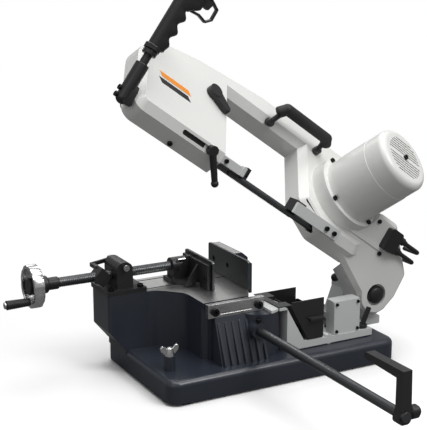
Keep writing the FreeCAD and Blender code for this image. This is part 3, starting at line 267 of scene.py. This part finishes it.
def ring_points(bm, matrix, radius, height, steps):
    return [bm.verts.new(matrix @ Vector((radius * math.cos(a), radius * math.sin(a), height)))
            for a in (2 * math.pi * k / steps for k in range(steps))]


def skin(bm, rings, closed=False, caps=True):
    """Joins rings of equally many points with quads."""
    pairs = list(zip(rings, rings[1:])) + ([(rings[-1], rings[0])] if closed else [])
    for a, b in pairs:
        for k in range(len(a)):
            m = (k + 1) % len(a)
            bm.faces.new((a[k], a[m], b[m], b[k]))
    if caps and not closed:
        bm.faces.new(rings[0])
        bm.faces.new(rings[-1])


def lathe(bm, matrix, profile, steps=64):
    """Turns (radius, height) corners in millimetres about the matrix's z axis."""
    skin(bm, [ring_points(bm, matrix, r * MM, h * MM, steps) for r, h in profile])


def prism(bm, matrix, outline, low, high):
    """A flat outline in millimetres given thickness along the matrix's z axis."""
    rings = [[bm.verts.new(matrix @ (Vector((x, y, z)) * MM)) for x, y in outline] for z in (low, high)]
    skin(bm, rings)


def rounded_section(width, depth, radius, steps=5):
    """The points of a rounded rectangle, centred, in millimetres."""
    points = []
    for sx, sy, start in ((1, 1, 0), (-1, 1, 90), (-1, -1, 180), (1, -1, 270)):
        for k in range(steps + 1):
            a = math.radians(start + 90 * k / steps)
            points.append((sx * (width / 2 - radius) + radius * math.cos(a),
                           sy * (depth / 2 - radius) + radius * math.sin(a)))
    return points


def bent_path(corners, radius, steps=8):
    """Corner points joined by straight lines with arcs of one radius."""
    points = [corners[0]]
    for before, corner, after in zip(corners, corners[1:], corners[2:]):
        a, b = (before - corner).normalized(), (after - corner).normalized()
        half = a.angle(b) / 2
        reach = radius / math.tan(half)
        centre = corner + (a + b).normalized() * radius / math.sin(half)
        start = corner + a * reach - centre
        end = corner + b * reach - centre
        points += [centre + start.slerp(end, k / steps) * 1.0 for k in range(steps + 1)]
    return points + [corners[-1]]


def tube(bm, points, radius, steps=20):
    """A round bar along a list of points, with one radius or one at each point, in metres."""
    radii = radius if isinstance(radius, list) else [radius] * len(points)
    tangents = [(points[min(k + 1, len(points) - 1)] - points[max(k - 1, 0)]).normalized()
                for k in range(len(points))]
    side = tangents[0].orthogonal().normalized()
    rings = []
    for point, tangent, reach in zip(points, tangents, radii):
        side = (side - tangent * side.dot(tangent)).normalized()
        other = tangent.cross(side)
        rings.append([bm.verts.new(point + reach * (math.cos(a) * side + math.sin(a) * other))
                      for a in (2 * math.pi * k / steps for k in range(steps))])
    skin(bm, rings)


# ---------------------------------------------------------------- the CAD pieces' finish

EDGE_WIDTHS = {"base_casting": 1.6, "bow_casting": 1.2, "wheel_cover": 1.0, "motor_body": 0.8,
               "motor_fan_cover": 0.6, "swivel_console": 1.2, "moving_jaw": 1.2, "vise_bracket": 1.2,
               "stop_arm": 2.6, "half_nut": 1.4, "chip_tray": 0.8, "blade": 0.0, "motor_fan": 0.0}


def finish_cad_nodes():
    """Paints every CAD piece and breaks its sharp edges."""
    for name, obj in frame["nodes"].items():
        obj.data.materials.clear()
        obj.data.materials.append(MATERIALS[SLOTS[name]])
        if obj.data.has_custom_normals:
            obj.data.attributes.remove(obj.data.attributes["custom_normal"])
        smooth(obj.data)
        weld = obj.modifiers.new("weld", "WELD")
        weld.merge_threshold = 0.005 * MM
        flat = obj.modifiers.new("flat", "DECIMATE")
        flat.decimate_type = "DISSOLVE"
        flat.angle_limit = math.radians(0.4)
        width = EDGE_WIDTHS.get(name, 0.5)
        if width:
            round_edges(obj, width, 30)


finish_cad_nodes()

# ---------------------------------------------------------------- vise screw and handwheel

SCREW_X0, SCREW_X1 = -440, -115
SCREW_Y, SCREW_Z = 95, 201
SCREW_RADIUS, THREAD_DEPTH, PITCH = 9.9, 1.1, 4


def make_vise_screw():
    """The long vise screw with its trapezoid thread, and the plain end held in the jaw."""
    bm = bmesh.new()
    line = at(FLOOR, SCREW_X0, SCREW_Y, SCREW_Z, "x")
    steps, length = 24, SCREW_X1 - SCREW_X0
    crest = ((0.0, 0), (0.35, 0), (0.5, 1), (0.85, 1))
    rings = []
    for turn in range(int(length / PITCH)):
        for share, depth in crest:
            ring = []
            for k in range(steps):
                angle = 2 * math.pi * k / steps
                height = PITCH * (turn + share + k / steps)
                radius = SCREW_RADIUS - THREAD_DEPTH * depth
                height = min(height, length)
                ring.append(bm.verts.new(line @ (Vector((radius * math.cos(angle), radius * math.sin(angle),
                                                         height)) * MM)))
            rings.append(ring)
    for a, b in zip(rings, rings[1:]):
        for k in range(steps - 1):
            bm.faces.new((a[k], a[k + 1], b[k + 1], b[k]))
    per_turn = len(crest)
    for i in range(len(rings) - 1 - per_turn):
        a, b, c, d = rings[i][-1], rings[i + 1][-1], rings[i + per_turn + 1][0], rings[i + per_turn][0]
        bm.faces.new((a, d, c, b))
    lathe(bm, line, [(0.1, 0), (9.4, 0), (9.4, 2), (8.8, 4)], 24)
    lathe(bm, line, [(8.7, length - 6), (8.7, length), (7, length + 0.2), (7, length + 17), (0.1, length + 17)], 24)
    lathe(bm, line, [(8.75, 0), (8.75, length)], 24)
    piece("vise_screw_thread", bm, "vise_screw", "dark_steel", ["vise_screw"])


def make_handwheel():
    """A polished rim with finger dips and a plain round web, around a black hub."""
    bm = bmesh.new()
    centre = at(FLOOR, -451, SCREW_Y, SCREW_Z, "x")
    outer, inner, width, dips, steps = 43, 35, 22, 8, 128
    profile = [(outer - 2.5, 0), (outer - 0.6, 0.8), (outer, 3), (outer, width - 3), (outer - 0.6, width - 0.8),
               (outer - 2.5, width), (inner + 2, width), (inner + 0.4, width - 1), (inner, width - 3),
               (inner, 3), (inner + 0.4, 1), (inner + 2, 0)]
    rings = []
    for radius, height in profile:
        ring = []
        for k in range(steps):
            angle = 2 * math.pi * k / steps
            dip = 1.7 * max(0.0, math.cos(dips * angle)) if radius > 38 else 0.0
            reach = radius - dip
            ring.append(bm.verts.new(centre @ (Vector((reach * math.cos(angle), reach * math.sin(angle),
                                                       height)) * MM)))
        rings.append(ring)
    skin(bm, rings, closed=True)
    lathe(bm, centre, [(16, 11), (36, 12), (36, 15), (16, 16)], 96)
    piece("handwheel_rim", bm, "vise_screw", "polished", ["handwheel"], angle=40)

    bm = bmesh.new()
    lathe(bm, centre, [(8, 0), (15.5, 0), (17, 1.5), (17, 26), (17.6, 27), (17.6, 37), (16.5, 39), (12.6, 41),
                       (12.6, 61), (11.6, 62.5), (9.5, 62.5)], 64)
    piece("handwheel_hub", bm, "vise_screw", "black_plastic", edge=0.4)


def make_crank_grip():
    """The tapered turning grip with shallow rings."""
    bm = bmesh.new()
    low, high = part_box("crank_grip")
    length = (high.x - low.x) / MM
    middle = (low + high) / (2 * MM)
    line = at(FLOOR, low.x / MM, middle.y, middle.z, "x")
    profile = [(4.2, 0), (8.2, 0), (9.4, 1.4)]
    rings = 9
    for k in range(rings):
        start = 4 + k * (length - 10) / rings
        radius = 9.4 - 1.4 * start / length
        profile += [(radius, start), (radius - 0.5, start + 0.8), (radius - 0.5, start + 1.8), (radius, start + 2.6)]
    profile += [(8.0, length - 3), (7.0, length), (4.2, length)]
    lathe(bm, line, profile, 48)
    piece("crank_grip_ringed", bm, "crank_grip", "black_plastic", ["crank_grip"])


# ---------------------------------------------------------------- blade teeth


def make_blade_teeth():
    """The teeth under the cutting strand, between and inside the two guides."""
    bm = bmesh.new()
    start, end, pitch, depth = 290, 492, 3.2, 1.5
    edge_w, back, front = 33.6, 72.05, 72.65
    for k in range(int((end - start) / pitch)):
        u = start + k * pitch
        corners = [(u, edge_w), (u + pitch * 0.92, edge_w), (u + pitch * 0.35, edge_w - depth)]
        rings = [[bm.verts.new(HEAD @ (Vector((x, y, w)) * MM)) for x, w in corners] for y in (back, front)]
        skin(bm, rings)
    piece("blade_teeth", bm, "head", "dark_steel", angle=20)


# ---------------------------------------------------------------- pistol handle

PISTOL_U, PISTOL_Y = 735, 72
GRIP_LOW, GRIP_HIGH = 150, 296


def grip_front(w):
    """How far the grip reaches towards the pivot: three finger dips, then the trigger housing."""
    share = (w - GRIP_LOW) / 88
    if share < 1:
        return 22 - 4.5 * math.cos(2 * math.pi * 3 * share) * min(1, 4 * share, 5 - 4 * share)
    rise = min(1.0, (w - GRIP_LOW - 88) / 20)
    return 22 + 20 * rise * rise * (3 - 2 * rise)


def make_pistol_grip():
    """A moulded grip with finger dips, thick at the trigger, round in section."""
    bm = bmesh.new()
    back, thickness = 11.5, 25
    stations = [GRIP_LOW + (GRIP_HIGH - GRIP_LOW) * k / 70 for k in range(71)]
    rings = []
    for w in stations:
        from_end = min(w - GRIP_LOW, GRIP_HIGH - w)
        shrink = 2.5 * max(0.0, 1 - from_end / 3) ** 2
        front = grip_front(w)
        width = front + back - 2 * shrink
        section = rounded_section(width, thickness - 2 * shrink, min(10, width / 2.4))
        centre = PISTOL_U + (back - front) / 2
        rings.append([bm.verts.new(HEAD @ (Vector((centre + x, PISTOL_Y + y, w)) * MM)) for x, y in section])
    skin(bm, rings)
    piece("pistol_grip_moulded", bm, "head", "black_plastic", ["pistol_grip"], angle=50)

    bm = bmesh.new()
    guard = [(20, 244), (42, 237), (66, 232), (83, 250), (82, 286), (36, 292)]
    path = bent_path([Vector((PISTOL_U - reach, PISTOL_Y, w)) for reach, w in guard], 12)
    rings = []
    for k, point in enumerate(path):
        tangent = (path[min(k + 1, len(path) - 1)] - path[max(k - 1, 0)]).normalized()
        outward = tangent.cross(Vector((0, 1, 0)))
        rings.append([bm.verts.new(HEAD @ ((point + outward * x + Vector((0, y, 0))) * MM))
                      for x, y in rounded_section(4.4, 10, 1.6, 3)])
    skin(bm, rings)
    piece("trigger_guard", bm, "head", "black_plastic", angle=50)

    bm = bmesh.new()
    line = at(HEAD, PISTOL_U, PISTOL_Y, 0)
    lathe(bm, line, [(8.1, 133), (13, 133), (14, 134), (14, 142), (13, 143), (8.1, 143)], 48)
    lathe(bm, line, [(8.1, 143.4), (17, 143.4), (17, 152), (15, 153.5), (8.1, 153.5)], 8)
    piece("grip_collar", bm, "head", "black_paint", edge=0.6)


def make_handle_foot():
    """The round-bottomed sleeve that holds the tube, and the foot that bolts to the bow."""
    bm = bmesh.new()
    line = at(HEAD, PISTOL_U, PISTOL_Y, 0)
    bottom = [(0.1, 30.5)] + [(13.4 * math.sin(a), 44 - 13.4 * math.cos(a))
                              for a in (math.pi / 2 * k / 8 for k in range(1, 9))]
    lathe(bm, line, bottom + [(13.4, 112), (12.6, 114), (8.1, 114), (8.1, 100)], 64)
    piece("handle_sleeve", bm, "head", "black_paint", ["handle_bracket"], edge=0.4)
    bm = bmesh.new()
    prism(bm, at(HEAD, 718.05, 0, 0, "x"), [(PISTOL_Y - 13, 34), (PISTOL_Y + 13, 34), (PISTOL_Y + 13, 62),
                                            (PISTOL_Y + 7, 74), (PISTOL_Y - 13, 74)], 0, 18)
    piece("handle_foot", bm, "head", "black_paint", edge=2.0)


# ---------------------------------------------------------------- carry handle


LEFT_FOOT, RIGHT_FOOT = (374, -46.5, 187.5), (240, -88, 28.1)
GRIP_Y, GRIP_W, GRIP_ENDS = -14, 240, (382, 222)
FOOT_PROFILE = [(3.2, 0), (8, 0), (9, 1), (9, 12), (8, 13.4), (3.2, 13.4)]


def make_carry_handle():
    """Two round feet on the bow, a bent bar, and a thick rubber grip that covers both bends."""
    left_foot, right_foot = at(HEAD, *LEFT_FOOT, "y"), at(WHEEL, *RIGHT_FOOT)
    half_height = Vector((0, 0, 7.5)) * MM
    ends = [HEAD.inverted() @ (foot @ half_height) / MM for foot in (left_foot, right_foot)]
    bends = [Vector((u, GRIP_Y, GRIP_W)) for u in GRIP_ENDS]
    path = bent_path([ends[0], *bends, ends[1]], 16)
    bm = bmesh.new()
    tube(bm, [HEAD @ (p * MM) for p in path], 5.8 * MM)
    for foot in (left_foot, right_foot):
        lathe(bm, foot, FOOT_PROFILE, 40)
    piece("carry_handle_bar", bm, "head", "black_paint", ["carry_handle"], edge=0.3)

    bm = bmesh.new()
    covered = [ends[0].lerp(bends[0], 0.42), *path[1:-1], bends[1].lerp(ends[1], 0.62)]
    fine = []
    for a, b in zip(covered, covered[1:]):
        pieces = max(1, round((b - a).length / 2))
        fine += [a.lerp(b, k / pieces) for k in range(pieces)]
    fine.append(covered[-1])
    radii = []
    for k, point in enumerate(fine):
        from_end = min(k, len(fine) - 1 - k)
        swell = 0.8 * math.cos(2 * math.pi * (point.x - GRIP_ENDS[1]) / 23) if point.z > GRIP_W - 1 else 0.0
        radii.append((12.2 + swell - 3.0 * max(0.0, 1 - from_end / 2) ** 2) * MM)
    tube(bm, [HEAD @ (p * MM) for p in fine], radii, 28)
    piece("carry_handle_rubber", bm, "head", "rubber", ["carry_handle_grip"], angle=50)


# ---------------------------------------------------------------- wing screw and guide end

WING_X, WING_Y = -232, -84


def make_wing_screw():
    """The chromed screw with two thick rounded wings on a tapered hub."""
    bm = bmesh.new()
    line = at(FLOOR, WING_X, WING_Y, 0)
    lathe(bm, line, [(0.1, 60), (4, 60), (4, 78.2), (9.5, 78.2), (9.5, 81), (7, 94), (5.5, 96), (0.1, 96.5)], 40)
    for side in (-1, 1):
        outline = [(5, 80), (12, 83), (19, 90), (20, 97), (16, 101), (10, 99), (5, 92)]
        prism(bm, FRONT, [(WING_X + side * x, z) for x, z in outline], -WING_Y - 2.6, -WING_Y + 2.6)
    piece("wing_screw_cast", bm, "wing_screw", "polished", ["wing_screw"], edge=1.2, angle=40)


def make_guide_end():
    """The left guide's end: black end plate, tab in the casting's window, grey block, bar screw, and a black sheet
    on the arm that is painted shade inside the bow's slot.
    """
    line = at(HEAD, 430, 0, 0, "x")
    bm = bmesh.new()
    prism(bm, line, [(73.6, 44.4), (87, 44.4), (87, 66), (73.6, 66)], 0, 8)
    prism(bm, line, [(62, 44.4), (71.3, 44.4), (71.3, 66), (62, 66)], 0, 8)
    prism(bm, line, [(62, 48), (87, 48), (87, 66), (62, 66)], 2, 8)
    piece("guide_end_plate", bm, "guide_left", "black_paint", ["guide_head_left"], edge=0.6)
    bm = bmesh.new()
    prism(bm, line, [(73.8, 35), (79, 35), (79, 44), (73.8, 44)], 18, 36)
    piece("guide_window_tab", bm, "head", "black_paint", edge=0.6)
    bm = bmesh.new()
    prism(bm, line, [(76, 44.6), (86, 44.6), (86, 64), (76, 64)], 8, 18)
    piece("guide_end_block", bm, "guide_left", "console_grey", edge=0.8)
    bm = bmesh.new()
    lathe(bm, at(HEAD, 488, 84.3, 53, "y"), [(0.1, 0), (4.6, 0), (4.6, 3.4), (4.1, 4), (2.6, 4), (2.6, 2.4), (0.1, 2.4)],
          28)
    piece("guide_bar_screw", bm, "guide_left", "oxide_screws")
    # painted shade: a thin black sheet on the grey arm stands in for the shade inside the bow's slot
    bm = bmesh.new()
    prism(bm, at(HEAD, 546, 0, 0, "x"), [(84.3, 48.2), (84.5, 48.2), (84.5, 57.8), (84.3, 57.8)], 0, 60)
    piece("guide_slot_shade", bm, "guide_left", "black_plastic")


# ---------------------------------------------------------------- small details on the head


def make_bow_details():
    """Plain colour stripes, gear cover plate and its screws, and the cap on the pivot."""
    slant, front_n = 8, 28.02
    for name, down, colour in (("stripe_orange", -2, "stripe_orange"), ("stripe_dark", 14, "black_paint")):
        bm = bmesh.new()
        corners = [(602, down), (676, down), (676 - slant, down + 12), (602 - slant, down + 12)]
        prism(bm, WHEEL, corners, front_n, front_n + 0.25)
        piece(name, bm, "head", colour)

    bm = bmesh.new()
    prism(bm, HEAD, [(50, 79), (192, 79), (192, 82.5), (50, 82.5)], 80, 88)
    piece("gear_seam", bm, "head", "head_white", edge=0.8)

    bm = bmesh.new()
    for u, w in ((196, 90), (50, 76), (92, 132), (206, 50), (172, 40)):
        lathe(bm, at(HEAD, u, 80, w, "y"), [(4.6, 0), (4.6, 3.6), (4.0, 4.2), (0.1, 4.2)], 24)
    lathe(bm, at(WHEEL, 604, 110, -14, "y"), [(5.2, 0), (5.2, 3.6), (4.6, 4.4), (0.1, 4.4)], 24)
    piece("gear_case_screws", bm, "head", "oxide_screws")

    bm = bmesh.new()
    dome = [(0.1, 86.5)] + [(17 * math.sin(a), 80 + 6.5 * math.cos(a)) for a in
                            (math.pi / 2 * k / 8 for k in range(1, 9))] + [(19.4, 80), (19.4, 72.2)]
    lathe(bm, at(HEAD, 0, 0, 0, "y"), dome, 48)
    piece("pivot_cap", bm, "console", "black_plastic")


def make_jaw_pin():
    """The bright pin across the moving jaw's screw boss."""
    bm = bmesh.new()
    lathe(bm, at(FLOOR, -132, 78, 216, "x"), [(0.1, 0), (2.6, 0), (3, 0.6), (3, 17.4), (2.6, 18), (0.1, 18)], 24)
    piece("jaw_pin", bm, "moving_jaw", "polished")


make_vise_screw()
make_handwheel()
make_crank_grip()
make_blade_teeth()
make_pistol_grip()
make_handle_foot()
make_carry_handle()
make_wing_screw()
make_guide_end()
make_bow_details()
make_jaw_pin()

# ---------------------------------------------------------------- the room


def camera_only(nodes, links, others, seen):
    """A value that is one thing to the camera and another to light bouncing round the room."""
    path = nodes.new("ShaderNodeLightPath")
    mix = nodes.new("ShaderNodeMix")
    mix.data_type = "RGBA"
    mix.inputs["A"].default_value = (*others, 1)
    mix.inputs["B"].default_value = (*seen, 1)
    links.new(path.outputs["Is Camera Ray"], mix.inputs["Factor"])
    return mix.outputs["Result"]


def fade_to_white(nodes, links):
    """Away from the saw the camera sees the floor plain white, so that it meets the sky unseen."""
    near, far = 0.30, 0.95
    distance = nodes.new("ShaderNodeVectorMath")
    distance.operation = "LENGTH"
    links.new(nodes.new("ShaderNodeNewGeometry").outputs["Position"], distance.inputs[0])
    ramp = nodes.new("ShaderNodeMapRange")
    ramp.inputs["From Min"].default_value = near
    ramp.inputs["From Max"].default_value = far
    links.new(distance.outputs["Value"], ramp.inputs["Value"])
    seen = nodes.new("ShaderNodeMath")
    seen.operation = "MULTIPLY"
    links.new(ramp.outputs["Result"], seen.inputs[0])
    links.new(nodes.new("ShaderNodeLightPath").outputs["Is Camera Ray"], seen.inputs[1])
    glow = nodes.new("ShaderNodeEmission")
    mix = nodes.new("ShaderNodeMixShader")
    links.new(seen.outputs[0], mix.inputs["Fac"])
    links.new(surface(nodes).outputs[0], mix.inputs[1])
    links.new(glow.outputs[0], mix.inputs[2])
    links.new(mix.outputs[0], nodes["Material Output"].inputs["Surface"])


def make_room():
    """A pale floor and a pale sky; both give back less light than they show, to keep undersides dark."""
    bm = bmesh.new()
    half = 30.0
    bm.faces.new([bm.verts.new((x * half, y * half, 0)) for x, y in ((-1, -1), (1, -1), (1, 1), (-1, 1))])
    mesh = bpy.data.meshes.new("studio_floor")
    bm.to_mesh(mesh)
    bm.free()
    floor = bpy.data.objects.new("studio_floor", mesh)
    bpy.context.scene.collection.objects.link(floor)
    material, nodes, links = new_material("studio_floor")
    surface(nodes).inputs["Roughness"].default_value = 0.9
    surface(nodes).inputs["Specular IOR Level"].default_value = 0.1
    links.new(camera_only(nodes, links, (0.15, 0.15, 0.15), (0.98, 0.98, 0.98)),
              surface(nodes).inputs["Base Color"])
    fade_to_white(nodes, links)
    mesh.materials.append(material)

    world = bpy.data.worlds.new("studio")
    bpy.context.scene.world = world
    world.use_nodes = True
    nodes, links = world.node_tree.nodes, world.node_tree.links
    links.new(camera_only(nodes, links, (0.33, 0.33, 0.33), (1, 1, 1)), nodes["Background"].inputs["Color"])
    nodes["Background"].inputs["Strength"].default_value = 1.0


def area_light(name, place, aim, size, power):
    data = bpy.data.lights.new(name, "AREA")
    data.shape = "RECTANGLE"
    data.size, data.size_y = size
    data.energy = power
    lamp = bpy.data.objects.new(name, data)
    lamp.location = place
    lamp.rotation_euler = (Vector(aim) - Vector(place)).to_track_quat("-Z", "Y").to_euler()
    bpy.context.scene.collection.objects.link(lamp)


def make_lights():
    middle = (-0.05, 0.0, 0.3)
    area_light("key_light", (0.9, -1.9, 2.4), middle, (1.4, 1.2), 36)
    area_light("fill_light", (-1.8, -1.2, 1.4), middle, (1.4, 1.4), 4)
    area_light("rim_light", (0.6, 2.2, 2.0), middle, (1.8, 1.0), 12)
    area_light("top_light", (0.1, -0.1, 2.8), middle, (2.4, 2.4), 54)


def make_camera():
    """The photo's view: 28 degrees left of the front and 14 degrees above."""
    azimuth, elevation = math.radians(-28.4), math.radians(14.0)
    back = Vector((math.sin(azimuth) * math.cos(elevation), -math.cos(azimuth) * math.cos(elevation),
                   math.sin(elevation)))
    right = Vector((math.cos(azimuth), math.sin(azimuth), 0))
    matrix = axes_at(Vector((-1.141, -1.944, 0.875)), right, back.cross(right), back)
    data = bpy.data.cameras.new("photo_view")
    data.lens = 95.27
    camera = bpy.data.objects.new("photo_view", data)
    camera.matrix_world = matrix
    bpy.context.scene.collection.objects.link(camera)
    bpy.context.scene.camera = camera
    bpy.context.scene.view_settings.view_transform = "Standard"


make_room()
make_lights()
make_camera()
